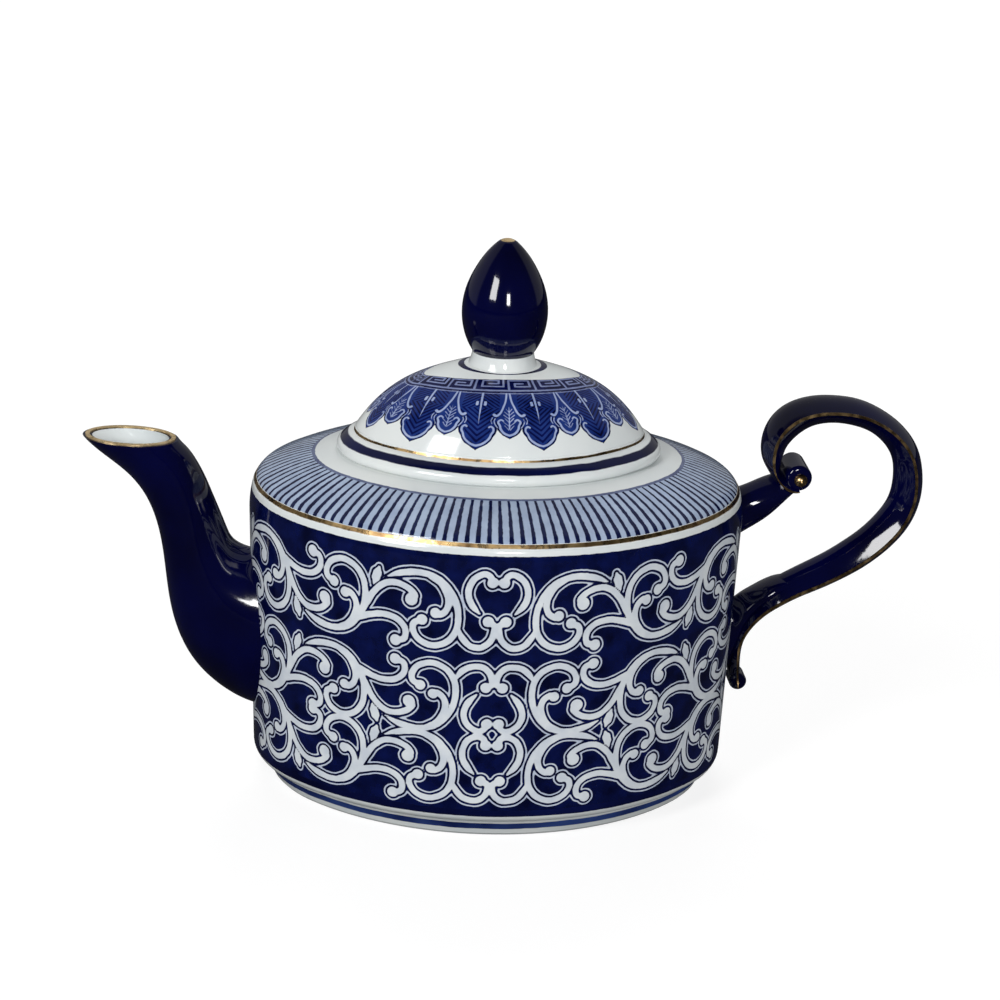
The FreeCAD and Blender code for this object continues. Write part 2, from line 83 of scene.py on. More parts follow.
# %% [markdown]
# Painted edges are worked out inside the material, as numbers that turn into a share of one
# colour over another. Three small nodes do all of it: a smooth step, one sum, and a mix.

# %% Numbers and shares inside a material


def remap(nodes, links, value, start, end, low=0.0, high=1.0):
    """A smooth step of a value from one range to another."""
    node = nodes.new("ShaderNodeMapRange")
    node.interpolation_type = "SMOOTHSTEP"
    node.inputs["From Min"].default_value = start
    node.inputs["From Max"].default_value = end
    node.inputs["To Min"].default_value = low
    node.inputs["To Max"].default_value = high
    links.new(value, node.inputs["Value"])
    return node.outputs["Result"]


def calculate(nodes, links, operation, first, second):
    """One Math node on two values, where the second may be a number."""
    node = nodes.new("ShaderNodeMath")
    node.operation = operation
    links.new(first, node.inputs[0])
    if isinstance(second, (int, float)):
        node.inputs[1].default_value = second
    else:
        links.new(second, node.inputs[1])
    return node.outputs["Value"]


def blend(nodes, links, share, under, over):
    """Mixes two colours by a share."""
    node = nodes.new("ShaderNodeMix")
    node.data_type = "RGBA"
    links.new(share, node.inputs["Factor"])
    links.new(under, node.inputs["A"])
    links.new(over, node.inputs["B"])
    return node.outputs["Result"]


# %% [markdown]
# Poured glaze is never quite level, and on the real pot that bends the edges of the highlights.
# Moving the mesh would show it too, but the CAD surfaces stay as they are. A shallow bump bends
# the light instead, and the roughness drifts with a noise of its own.

# %% The clear gloss
ROUGHNESS_SPREAD = 0.04
ROUGHNESS_SCALE = 25.0
WAVE_SCALE = 40.0
WAVE_DETAIL = 2.0


def glaze(nodes, links, shader, roughness, wave_mm):
    """A clear gloss that is a little uneven, as poured glaze is."""
    shader.inputs["Specular IOR Level"].default_value = 0.5
    drift = remap(nodes, links, noise(nodes, links, ROUGHNESS_SCALE), NOISE_LOW, NOISE_HIGH,
                  roughness, roughness + ROUGHNESS_SPREAD)
    links.new(drift, shader.inputs["Roughness"])
    bump = nodes.new("ShaderNodeBump")
    bump.inputs["Strength"].default_value = 1.0
    bump.inputs["Distance"].default_value = wave_mm * MM
    links.new(noise(nodes, links, WAVE_SCALE, WAVE_DETAIL), bump.inputs["Height"])
    links.new(bump.outputs["Normal"], shader.inputs["Normal"])


# %% [markdown]
# The shades are kept together, because the same cobalt returns all over the pot: nearly black
# where it lies thick on the spout, handle and bud, and lavender where a brush has thinned it.
# Each shade is a pair, low and high, and the finish drifts between the two. Colours are linear.

# %% Shades
WHITE = ((0.64, 0.68, 0.69), (0.73, 0.76, 0.75))
INK = ((0.0002, 0.0002, 0.009), (0.0007, 0.0012, 0.030))
NAVY = ((0.0008, 0.0016, 0.018), (0.0022, 0.0046, 0.048))
BRUSHED_BLUE = ((0.004, 0.010, 0.070), (0.035, 0.075, 0.270))
WHITE_SCALE = 35.0
print("cobalt from thin to thick", BRUSHED_BLUE[1], NAVY[1], INK[1])

# %% [markdown]
# Some painted lines on the real pot run round it at one height: the foot's blue line, the
# flange's blue line and the top of the white collar under the bud. They could be rings of their
# own, but a band between two heights in the material is enough, because each solid keeps its
# place in the frame. The edge drifts a little, as a line drawn by hand does.

# %% Bands between two heights
BAND_SOFT = 0.12
BAND_DRIFT = 0.12
BAND_DRIFT_SCALE = 120.0
DRIFT_LOW = 0.2
DRIFT_HIGH = 0.8


def hand_drift(nodes, links, scale, reach):
    """A drift of up to a reach either way, in millimetres, for an edge drawn by hand."""
    return remap(nodes, links, noise(nodes, links, scale), DRIFT_LOW, DRIFT_HIGH, -reach, reach)


def height_mm(nodes, links):
    """Height above the table in millimetres, fixed to the piece."""
    place = nodes.new("ShaderNodeTexCoord")
    parts = nodes.new("ShaderNodeSeparateXYZ")
    links.new(place.outputs["Object"], parts.inputs["Vector"])
    return calculate(nodes, links, "MULTIPLY", parts.outputs["Z"], 1000.0)


def facing_out(nodes, links):
    """1 where a surface looks away from the pot's upright axis, 0 inside the hollow."""
    place = nodes.new("ShaderNodeTexCoord")
    dot = nodes.new("ShaderNodeVectorMath")
    dot.operation = "DOT_PRODUCT"
    level = nodes.new("ShaderNodeVectorMath")
    level.operation = "MULTIPLY"
    level.inputs[1].default_value = (1.0, 1.0, 0.0)
    links.new(place.outputs["Object"], level.inputs[0])
    links.new(level.outputs["Vector"], dot.inputs[0])
    links.new(place.outputs["Normal"], dot.inputs[1])
    return calculate(nodes, links, "GREATER_THAN", dot.outputs["Value"], 0.0)


def band(nodes, links, low, high, outside_only=True):
    """1 between two heights, with a slightly drifting edge, and only outside where asked."""
    drift = hand_drift(nodes, links, BAND_DRIFT_SCALE, BAND_DRIFT)
    height = calculate(nodes, links, "ADD", height_mm(nodes, links), drift)
    above = remap(nodes, links, height, low - BAND_SOFT, low + BAND_SOFT)
    below = remap(nodes, links, height, high - BAND_SOFT, high + BAND_SOFT, 1.0, 0.0)
    inside = calculate(nodes, links, "MULTIPLY", above, below)
    if not outside_only:
        return inside
    return calculate(nodes, links, "MULTIPLY", inside, facing_out(nodes, links))


# %% [markdown]
# Two glazes cover the plain pieces. The foot, the lid and the lining of the spout are white
# porcelain, some with painted lines. The spout, handle and bud are deep cobalt. Each is one
# material with shares between colours, so that a line lies in the glaze and not on top of it.

# %% White and cobalt glazes
LINE_SCALE = 45.0
COBALT_SCALE = 38.0
COLLAR_SCALE = 80.0
COLLAR_SOFT = 0.15


def banded_white(name, bands):
    """White porcelain with painted lines: bands are (heights, two shades)."""
    material, nodes, links, shader = new_finish(name)
    colour = mottled(nodes, links, *WHITE, WHITE_SCALE)
    for (low, high), shades in bands:
        line = mottled(nodes, links, *shades, LINE_SCALE)
        colour = blend(nodes, links, band(nodes, links, low, high), colour, line)
    links.new(colour, shader.inputs["Base Color"])
    glaze(nodes, links, shader, 0.10, 0.05)
    return material


def cobalt_glaze(name, white_below=0.0):
    """Deep cobalt that pools darker in places, over a white collar where one is asked for."""
    material, nodes, links, shader = new_finish(name)
    colour = mottled(nodes, links, *INK, COBALT_SCALE)
    white = mottled(nodes, links, *WHITE, COLLAR_SCALE)
    share = remap(nodes, links, height_mm(nodes, links),
                  white_below - COLLAR_SOFT, white_below + COLLAR_SOFT)
    links.new(blend(nodes, links, share, white, colour), shader.inputs["Base Color"])
    glaze(nodes, links, shader, 0.05, 0.06)
    return material


# %% [markdown]
# Gilding is gold brushed on last and burnished. It is brown where it is rubbed, and thinner than
# anything else on the pot. It is a metal in the shader. Outside its band of heights it turns
# back to the glaze below, so a gilt CAD piece may be wider than the line that is left on it.

# %% Gilding
WHOLE_HEIGHT = (0.0, 200.0)
GOLD_SCALE = 260.0
GOLD_ROUGHNESS = (0.22, 0.42)
GOLD_ROUGHNESS_SCALE = 500.0
GOLD_GRAIN_MM = 0.04
GOLD_GRAIN_SCALE = 700.0


def gilding(name, shades, metal=1.0, kept_heights=WHOLE_HEIGHT, under=WHITE):
    """Thin burnished gold, brown where it is rubbed, and worn off outside a band of heights."""
    material, nodes, links, shader = new_finish(name)
    gold = mottled(nodes, links, *shades, GOLD_SCALE)
    bare = mottled(nodes, links, *under, COLLAR_SCALE)
    kept = band(nodes, links, *kept_heights, outside_only=False)
    links.new(blend(nodes, links, kept, bare, gold), shader.inputs["Base Color"])
    links.new(calculate(nodes, links, "MULTIPLY", kept, metal), shader.inputs["Metallic"])
    rubbed = remap(nodes, links, noise(nodes, links, GOLD_ROUGHNESS_SCALE), NOISE_LOW, NOISE_HIGH,
                   *GOLD_ROUGHNESS)
    links.new(rubbed, shader.inputs["Roughness"])
    bump = nodes.new("ShaderNodeBump")
    bump.inputs["Distance"].default_value = GOLD_GRAIN_MM * MM
    links.new(noise(nodes, links, GOLD_GRAIN_SCALE), bump.inputs["Height"])
    links.new(bump.outputs["Normal"], shader.inputs["Normal"])
    return material


# %% [markdown]
# Each CAD piece takes its finish here. The heights are in millimetres above the table. The wall,
# the shoulder and the dome stay white underneath, because their painted skins come later.

# %% Finishes of the CAD pieces
FOOT_LINE = (2.55, 4.85)
COVE_SHADE = (8.8, 11.4)
FLANGE_LINE = (109.65, 111.5)
COLLAR_TOP = 138.4
SHOULDER_GOLD = (95.7, 97.2)
LID_GOLD = (112.0, 113.1)
TIP_GOLD = (173.45, WHOLE_HEIGHT[1])
RUBBED_GOLD = ((0.17, 0.10, 0.045), (0.56, 0.39, 0.18))
PALE_GOLD = ((0.52, 0.37, 0.17), (0.80, 0.61, 0.34))
COBALT = cobalt_glaze("cobalt_glaze")
FINISHES = {
    "pot_body": banded_white("foot_glaze", [(FOOT_LINE, BRUSHED_BLUE), (COVE_SHADE, NAVY)]),
    "lid": banded_white("flange_glaze", [(FLANGE_LINE, NAVY)]),
    "spout": COBALT,
    "handle": COBALT,
    "finial": cobalt_glaze("bud_glaze", COLLAR_TOP),
    "gilt_shoulder_line": gilding("shoulder_gilding", RUBBED_GOLD, kept_heights=SHOULDER_GOLD),
    "gilt_lid_line": gilding("lid_gilding", RUBBED_GOLD, kept_heights=LID_GOLD),
    "gilt_spout_rim": gilding("rim_gilding", PALE_GOLD, metal=0.6),
    "gilt_finial_tip": gilding("tip_gilding", PALE_GOLD, metal=0.5, kept_heights=TIP_GOLD, under=INK),
}
GOLD = gilding("gilding", RUBBED_GOLD)
for name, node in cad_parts.items():
    node.data.materials.clear()
    node.data.materials.append(FINISHES.get(name, GOLD))
print("finishes on", len(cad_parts), "nodes")

# %% [markdown]
# Painted ornament needs lines far finer than the CAD mesh, so each painted zone gets a thin
# skin: a regular grid of points that follows the solid a tenth of a millimetre outside it.
# Every point of a skin stores how far it lies from the edge of each painted layer, in
# millimetres, below zero inside the paint. The material then cuts the paint at zero, which
# gives edges sharper than the grid itself.

# %% Painted glaze
PAINT_SCALE = 170.0
PAINT_DRIFT_SCALE = 450.0


def layer_share(nodes, links, layer, soft, wander, middle=0.0, half_width=0.0):
    """1 inside a painted layer and 0 outside it, with a hand-drawn drift of its edge.

    With a half width, the paint is a line that keeps a distance from the layer's edge."""
    reach = nodes.new("ShaderNodeAttribute")
    reach.attribute_name = layer
    drift = hand_drift(nodes, links, PAINT_DRIFT_SCALE, wander)
    moved = calculate(nodes, links, "ADD", reach.outputs["Fac"], drift)
    if half_width:
        away = calculate(nodes, links, "SUBTRACT", moved, middle)
        away = calculate(nodes, links, "ABSOLUTE", away, 0.0)
        moved = calculate(nodes, links, "SUBTRACT", away, half_width)
    return remap(nodes, links, moved, -soft, soft, 1.0, 0.0)


def painted_glaze(name, paints, soft=0.09, wander=0.08):
    """White porcelain under painted layers, from the lowest up.

    A paint is (layer, two shades), and a line beside a layer's edge adds (middle, half width)."""
    material, nodes, links, shader = new_finish(name)
    colour = mottled(nodes, links, *WHITE, WHITE_SCALE)
    for layer, (low, high), *line in paints:
        paint = mottled(nodes, links, low, high, PAINT_SCALE)
        share = layer_share(nodes, links, layer, soft, wander, *line)
        colour = blend(nodes, links, share, colour, paint)
    links.new(colour, shader.inputs["Base Color"])
    glaze(nodes, links, shader, 0.08, 0.05)
    return material


# %% [markdown]
# Every level of the pot is an oval of four arcs about the same four centres. A skin point is
# named by its turn, from -1 round the front to 1, and by the half length of its oval. The
# arcs are walked at an even pace on one chosen oval, so motifs keep their width all round.

# %% Ovals of the plan
POT_AXIS = -3.0
OVAL_DIFFERENCE = 13.5
END_CENTER = 24.6
SIDE_CENTER = (OVAL_DIFFERENCE * (2 * END_CENTER - OVAL_DIFFERENCE)
               / (2 * (END_CENTER - OVAL_DIFFERENCE)))
ARC_DIFFERENCE = math.hypot(END_CENTER, SIDE_CENTER)
END_HALF_ANGLE = math.atan2(SIDE_CENTER, END_CENTER)


def half_round(half_length):
    """Arc lengths of half a front side and of one end, on the oval of a half length."""
    side = (half_length - END_CENTER + ARC_DIFFERENCE) * (math.pi / 2 - END_HALF_ANGLE)
    return side, (half_length - END_CENTER) * 2 * END_HALF_ANGLE


def oval_point(turn, half_length, shrink, pace):
    """Plan place of a turn on an oval. A shrink below 1 draws the four centres together."""
    side, end = half_round(pace)
    whole = 2 * side + end
    gone = np.abs(turn) * whole
    side_radius = half_length + (ARC_DIFFERENCE - END_CENTER) * shrink
    end_radius = half_length - END_CENTER * shrink
    front = gone / (pace - END_CENTER + ARC_DIFFERENCE)
    back = (whole - gone) / (pace - END_CENTER + ARC_DIFFERENCE)
    round_end = (gone - side) / (pace - END_CENTER) - END_HALF_ANGLE
    cases = [gone <= side, gone <= side + end]
    end_x = END_CENTER * shrink + end_radius * np.cos(round_end)
    end_y = end_radius * np.sin(round_end)
    front_y = SIDE_CENTER * shrink - side_radius * np.cos(front)
    back_y = side_radius * np.cos(back) - SIDE_CENTER * shrink
    x = np.select(cases, [side_radius * np.sin(front), end_x], side_radius * np.sin(back))
    y = np.select(cases, [front_y, end_y], back_y)
    return x * np.sign(turn) + POT_AXIS, y


def arc_through(start, middle, end, count):
    """Points on the circle through three (half length, height) places."""
    points = np.array([start, middle, end])
    sides = 2 * (points[1:] - points[0])
    centre = np.linalg.solve(sides, (points[1:] ** 2 - points[0] ** 2).sum(axis=1))
    angles = np.unwrap(np.arctan2(*(points - centre).T[::-1]))
    turn = np.linspace(angles[0], angles[2], count)
    radius = np.linalg.norm(points[0] - centre)
    return centre + radius * np.stack([np.cos(turn), np.sin(turn)], axis=1)


# %% [markdown]
# A skin is one sheet of quads with the ornament stored on its points. Faces copied off the CAD
# mesh would bring its long uneven triangles along, so the sheet is built from a grid of places.
# It is pushed out along its own normals, and its open edges are brought back to the solid.

# %% Skins
EDGE_SINK = -0.05


def raise_skin(places, lift):
    """Moves a grid of places outwards along its normals."""
    across = np.gradient(places, axis=1)
    upward = np.gradient(places, axis=0)
    normal = np.cross(across, upward)
    normal /= np.linalg.norm(normal, axis=2, keepdims=True)
    return places + normal * lift[:, None, None]


def make_skin(name, places, layers, finish, body, joined=False):
    """A smooth sheet of quads through a grid of places in millimetres."""
    rows, columns = places.shape[:2]
    index = np.arange(rows * columns).reshape(rows, columns)
    if joined:
        index = np.concatenate([index, index[:, :1]], axis=1)
    quads = np.stack([index[:-1, :-1], index[:-1, 1:], index[1:, 1:], index[1:, :-1]], axis=2)
    mesh = bpy.data.meshes.new(name)
    mesh.from_pydata((places.reshape(-1, 3) * MM).tolist(), [], quads.reshape(-1, 4).tolist())
    mesh.shade_smooth()
    for layer, reach in layers.items():
        store = mesh.attributes.new(layer, "FLOAT", "POINT")
        store.data.foreach_set("value", reach.astype(np.float32).ravel())
    mesh.materials.append(finish)
    piece = bpy.data.objects.new(name, mesh)
    bpy.context.scene.collection.objects.link(piece)
    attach(piece, body)
    print(name, "quads", len(mesh.polygons))


# %% [markdown]
# A painted stroke is a centre line with a half width at each point. Its distance field is
# the nearest distance to any of its segments, less the half width there. A soft curve is
# drawn through a few points and cut into short segments first.

# %% Strokes


def smooth_line(points, steps=4):
    """A rounded line through points of (x, y, half width)."""
    points = np.array(points, dtype=float)
    ends = np.concatenate([points[:1], points, points[-1:]])
    share = np.linspace(0.0, 1.0, steps, endpoint=False)[:, None]
    pieces = []
    for a, b, c, d in zip(ends, ends[1:], ends[2:], ends[3:]):
        pieces.append(0.5 * (2 * b + (c - a) * share + (2 * a - 5 * b + 4 * c - d) * share ** 2
                             + (3 * b - a - 3 * c + d) * share ** 3))
    return np.concatenate(pieces + [points[-1:]])


def segments_of(lines):
    """Joins lines into one pair of arrays: segment starts and ends."""
    starts = np.concatenate([line[:-1] for line in lines])
    ends = np.concatenate([line[1:] for line in lines])
    return starts, ends


def stroke_reach(x, y, segments):
    """Distance from points to the edge of strokes, below zero inside them."""
    start, end = segments
    step = end - start
    size = np.maximum((step[:, :2] ** 2).sum(axis=1), 1e-9)
    from_x = x[:, None] - start[:, 0]
    from_y = y[:, None] - start[:, 1]
    share = np.clip((from_x * step[:, 0] + from_y * step[:, 1]) / size, 0.0, 1.0)
    gap = np.hypot(from_x - share * step[:, 0], from_y - share * step[:, 1])
    return (gap - start[:, 2] - share * step[:, 2]).min(axis=1)


# %% [markdown]
# The wall carries three rows of scroll medallions. One medallion is drawn once: a big outer
# scroll, an inner curl and two leaves, each ending in a ball. Heights are shares of the row.
# Neighbours in a row stand on their heads in turn, and the whole sheet is mirrored about the
# middle of the front.

# %% One scroll medallion
SCROLL = 0.95
ROW_HEIGHT = 22.0


def ball(x, share, radius):
    """A ball end as a stroke of no length."""
    return [(x, share * ROW_HEIGHT, radius), (x + 0.01, share * ROW_HEIGHT, radius)]


def scroll_line(points, first=SCROLL, last=SCROLL):
    """A scroll stroke of (x, share of the row), with the half widths at its two ends."""
    widths = np.full(len(points), SCROLL)
    widths[0] = first
    widths[-1] = last
    return smooth_line([(x, share * ROW_HEIGHT, width)
                        for (x, share), width in zip(points, widths)])


OUTER_SCROLL = [(22.0, 0.88), (17.7, 0.96), (11.7, 1.0), (6.2, 0.935), (2.7, 0.786), (0.7, 0.61),
                (0.0, 0.415), (0.6, 0.227), (2.7, 0.087), (5.7, 0.013), (8.7, 0.004), (11.9, 0.07),
                (13.5, 0.183), (13.3, 0.288), (10.9, 0.345)]
INNER_CURL = [(9.7, 0.974), (5.7, 0.886), (3.6, 0.742), (3.0, 0.603), (3.9, 0.493), (5.7, 0.437),
              (6.9, 0.459)]
UPPER_LEAF = [(29.9, 0.28), (28.2, 0.48), (25.7, 0.664), (22.2, 0.79), (18.7, 0.812), (15.2, 0.76),
              (13.2, 0.668), (14.3, 0.611)]
LOWER_LEAF = [(33.7, 0.157), (30.2, 0.253), (26.2, 0.319), (22.7, 0.345), (18.9, 0.314), (16.5, 0.227),
              (15.8, 0.122), (16.5, 0.039), (18.9, 0.009)]
BUD = np.array([(24.5, 21.7, 0.4), (25.1, 19.8, 1.4), (25.6, 18.4, 1.3), (26.3, 16.3, 0.2)])
MEDALLION = segments_of([
    scroll_line(OUTER_SCROLL, first=0.15), scroll_line(INNER_CURL, first=0.5),
    scroll_line(UPPER_LEAF, first=0.2), scroll_line(LOWER_LEAF, first=0.2), BUD,
    np.array(ball(10.9, 0.345, 1.6)), np.array(ball(6.9, 0.459, 1.55)),
    np.array(ball(14.3, 0.611, 1.9)), np.array(ball(18.9, 0.009, 1.7)),
])
print("medallion segments", len(MEDALLION[0]))

# %% [markdown]
# Where the two mirrored halves of the sheet meet, the real pot has hearts and lyres in place of
# medallions. Only one half of each is drawn, in millimetres out from the mirror line and up from
# the table. Each starts in a ball and runs out in a thin tip.

# %% The middle of the front
MIDDLE_BALL = 1.65
MIDDLE_TIP = 0.3
HEART_A = [(1.7, 85.4), (2.6, 87.4), (4.5, 88.0), (7.3, 86.2), (8.7, 83.0), (8.5, 80.0), (7.3, 77.6),
           (5.3, 75.4)]
LYRE_A = [(2.6, 72.9), (0.7, 71.5), (0.8, 69.5), (1.5, 67.0), (3.5, 65.0), (5.2, 64.4), (8.0, 65.0),
          (10.3, 67.5), (11.5, 70.5)]
LYRE_B = [(2.5, 51.5), (0.7, 52.6), (0.8, 54.4), (1.6, 56.4), (3.4, 58.0), (5.2, 58.3), (8.0, 57.8),
          (10.3, 56.0), (11.5, 54.0)]
HEART_B = [(1.8, 39.6), (2.6, 37.8), (4.5, 37.2), (7.3, 38.8), (8.8, 41.6), (8.5, 44.6), (7.2, 47.0),
           (5.2, 49.2)]
HEART_C = [(1.8, 32.6), (2.6, 34.8), (4.7, 35.4), (7.4, 34.0), (8.8, 30.8), (8.6, 27.8), (7.2, 25.2),
           (5.1, 23.0)]
LYRE_C = [(2.9, 20.8), (0.8, 19.6), (0.8, 17.6), (1.6, 15.8), (3.5, 14.4), (5.5, 14.2), (8.2, 15.0),
          (10.4, 17.3), (11.5, 20.0)]
MIDDLE_LINES = [HEART_A, LYRE_A, LYRE_B, HEART_B, HEART_C, LYRE_C]
MIDDLE = segments_of(
    [smooth_line([(x, z, SCROLL) for x, z in line[:-1]] + [(*line[-1], MIDDLE_TIP)])
     for line in MIDDLE_LINES]
    + [np.array([(x, z, MIDDLE_BALL), (x, z + 0.01, MIDDLE_BALL)]) for (x, z), *_ in MIDDLE_LINES])
print("middle segments", len(MIDDLE[0]))

# %% [markdown]
# The sheet repeats the medallion in columns outwards from the mirror line, in three rows. Every
# point of the wall needs its nearest stroke, which would be slow over the whole sheet, so each
# medallion is asked only about the points near it.

# %% The wall's sheet of scrolls
WALL_PACE = 76.0
MIRROR_LINE = -5.2
FIRST_COLUMN = 11.5
COLUMN_PITCH = 29.0
COLUMNS = 4
# Each row: (height at share 0, height at share 1) of its first medallion
ROWS = [(64.1, 87.0), (58.4, 36.6), (14.0, 35.4)]
FAR_FROM_PAINT = 9.0
MIDDLE_REACH = 14.0
MEDALLION_START = -3.5
MEDALLION_END = 36.5
ROW_MARGIN = 0.15


def scroll_reach(along, height):
    """Distance of wall points to the scrolls, from all medallions near them."""
    out = np.abs(along - MIRROR_LINE)
    reach = np.full(out.shape, FAR_FROM_PAINT)
    near = out < MIDDLE_REACH
    reach[near] = np.minimum(reach[near], stroke_reach(out[near], height[near], MIDDLE))
    for low, high in ROWS:
        for column in range(COLUMNS):
            x = out - FIRST_COLUMN - column * COLUMN_PITCH
            share = (height - low) / (high - low)
            if column % 2:
                share = 1.0 - share
            near = (x > MEDALLION_START) & (x < MEDALLION_END)
            near &= (share > -ROW_MARGIN) & (share < 1.0 + ROW_MARGIN)
            drawn = stroke_reach(x[near], share[near] * ROW_HEIGHT, MEDALLION)
            reach[near] = np.minimum(reach[near], drawn)
    return reach


# %% [markdown]
# The wall's skin follows the straight wall and the arc that rounds it over to the gilt line.
# The back repeats the front, mirrored, so the two sheets meet at the spout and the handle.

# %% Scroll walls
WALL_BOTTOM = (74.2, 10.8)
WALL_TOP = (76.9, 86.0)
ROUND_MIDDLE = (76.66, 91.52)
ROUND_END = (75.95, 95.2)
WHITE_BAND_LOW = 93.5
WALL_COLUMNS = 440
WALL_ROWS = 150
ROUND_ROWS = 20
WALL_LIFT = 0.10
OUTLINE_MIDDLE = 0.92
OUTLINE_HALF_WIDTH = 0.23
GROUND = ((0.0006, 0.0016, 0.018), (0.0024, 0.0060, 0.060))
OUTLINE = ((0.43, 0.49, 0.61), (0.58, 0.63, 0.72))
RESERVE = ((0.55, 0.60, 0.67), (0.70, 0.74, 0.77))


def wall_profile():
    """The wall's outline from the cove to the gilt line, as (half length, height)."""
    straight = np.linspace(WALL_BOTTOM, WALL_TOP, WALL_ROWS)
    return np.concatenate([straight[:-1], arc_through(WALL_TOP, ROUND_MIDDLE, ROUND_END, ROUND_ROWS)])


def make_scroll_walls():
    """The front sheet, and the same sheet mirrored for the back."""
    profile = wall_profile()
    side, end = half_round(WALL_PACE)
    turn = np.linspace(-0.5, 0.5, WALL_COLUMNS + 1)
    x, y = oval_point(turn[None, :], profile[:, :1], 1.0, WALL_PACE)
    height = np.broadcast_to(profile[:, 1:], x.shape)
    lift = np.full(len(profile), WALL_LIFT)
    lift[[0, -1]] = EDGE_SINK
    places = raise_skin(np.stack([x, y, height], axis=2), lift)
    along = np.broadcast_to(turn * (2 * side + end), x.shape)
    reach = scroll_reach(along.ravel(), height.ravel()).reshape(x.shape)
    layers = {"ground": height - WHITE_BAND_LOW, "scroll": reach}
    outline = ("scroll", OUTLINE, OUTLINE_MIDDLE, OUTLINE_HALF_WIDTH)
    finish = painted_glaze("scroll_glaze", [("ground", GROUND), outline, ("scroll", RESERVE)])
    make_skin("scroll_wall_front", places, layers, finish, "pot")
    mirrored = places[:, ::-1] * (1.0, -1.0, 1.0)
    mirrored_layers = {name: value[:, ::-1] for name, value in layers.items()}
    make_skin("scroll_wall_back", mirrored, mirrored_layers, finish, "pot")


make_scroll_walls()

# %% [markdown]
# The shoulder is striped like a shell. The stripes start thick at the gilt line and thin out
# towards a painted ring, and no two are quite the same width, because a brush drew them. The
# grid has six columns to a stripe, so every stripe has a point on its middle and its edges.

# %% Striped shoulder
STRIPES = 128
COLUMNS_PER_STRIPE = 6
SHOULDER_START = [(75.05, 96.8), (74.0, 98.07), (72.26, 99.2)]
SHOULDER_RING = (57.6, 104.7)
SHOULDER_END = (50.6, 105.93)
RING_HALF_WIDTH = 0.55
STRIPE_WIDE = 0.74
STRIPE_NARROW = 0.42
STRIPE_TAPER = 0.8
STRIPE_WEIGHTS = (0.85, 1.15)
EDGE_ROWS = 8
TOP_ROWS = 44
SHOULDER_LIFT = 0.08
SHOULDER_END_LIFT = 0.02
WASH_DEPTH = 17.0
WASH = ((0.29, 0.36, 0.50), (0.38, 0.46, 0.60))
STRIPE = ((0.0012, 0.0025, 0.028), (0.009, 0.014, 0.060))
RING = ((0.060, 0.075, 0.16), (0.13, 0.16, 0.27))


def shoulder_profile():
    """The shoulder's outline from the gilt line up to the lid, as (half length, height)."""
    edge = arc_through(*SHOULDER_START, EDGE_ROWS)
    top = arc_through(SHOULDER_START[-1], SHOULDER_RING, SHOULDER_END, TOP_ROWS)
    return np.concatenate([edge[:-1], top])


def make_shoulder():
    """One closed sheet with a wash, the stripes over it and the ring that ends them."""
    random = np.random.default_rng(7)
    profile = shoulder_profile()
    count = STRIPES * COLUMNS_PER_STRIPE
    turn = np.linspace(-1.0, 1.0, count, endpoint=False)
    x, y = oval_point(turn[None, :], profile[:, :1], 1.0, WALL_PACE)
    height = np.broadcast_to(profile[:, 1:], x.shape)
    lift = np.full(len(profile), SHOULDER_LIFT)
    lift[[0, -1]] = (EDGE_SINK, SHOULDER_END_LIFT)
    places = raise_skin(np.stack([x, y, height], axis=2), lift)
    pitch = np.hypot(np.roll(x, -1, 1) - x, np.roll(y, -1, 1) - y) * COLUMNS_PER_STRIPE
    phase = np.arange(count) % COLUMNS_PER_STRIPE / COLUMNS_PER_STRIPE
    inward = (SHOULDER_START[0][0] - profile[:, :1]) / (SHOULDER_START[0][0] - SHOULDER_RING[0])
    stripe = np.arange(count) // COLUMNS_PER_STRIPE
    weight = random.uniform(*STRIPE_WEIGHTS, STRIPES)[stripe]
    taper = np.clip(inward, 0, 1) ** STRIPE_TAPER
    width = (STRIPE_WIDE + (STRIPE_NARROW - STRIPE_WIDE) * taper) * weight
    stripes = np.abs(phase - 0.5) * pitch - width
    stripes = np.where(inward > 1.0, 1.0, stripes)
    ring = np.abs(profile[:, :1] - SHOULDER_RING[0]) - RING_HALF_WIDTH
    layers = {"wash": np.broadcast_to((inward - 1.0) * WASH_DEPTH, x.shape), "stripe": stripes,
              "ring": np.broadcast_to(ring, x.shape)}
    paints = [("wash", WASH), ("stripe", STRIPE), ("ring", RING)]
    finish = painted_glaze("stripe_glaze", paints, wander=0.12)
    make_skin("striped_shoulder", places, layers, finish, "pot", joined=True)


make_shoulder()

# %% [markdown]
# The lid's dome changes from the pot's oval at its edge to a round collar at its crown. Its
# painted bands keep the oval longer than the dome does, so the skin is laid out on the bands
# first, and the height of each point is then found on the dome below it.

# %% The dome under the lid's paint
DOME_EDGE = (44.7, 113.4)
DOME_CROWN = (10.8, 134.5)
DOME_FULLNESS = 3.6
DOME_CROWN_SLOPE = 0.42
CROWN_ROUNDING = 0.8
LID_PACE = 60.0
BAND_SHARES = [0.0, 0.43, 0.61, 1.0]
BAND_HALF_LENGTHS = [44.7, 30.2, 24.0, 11.0]
BAND_HALF_WIDTHS = [31.2, 18.8, 13.2, 11.0]
HALVINGS = 30


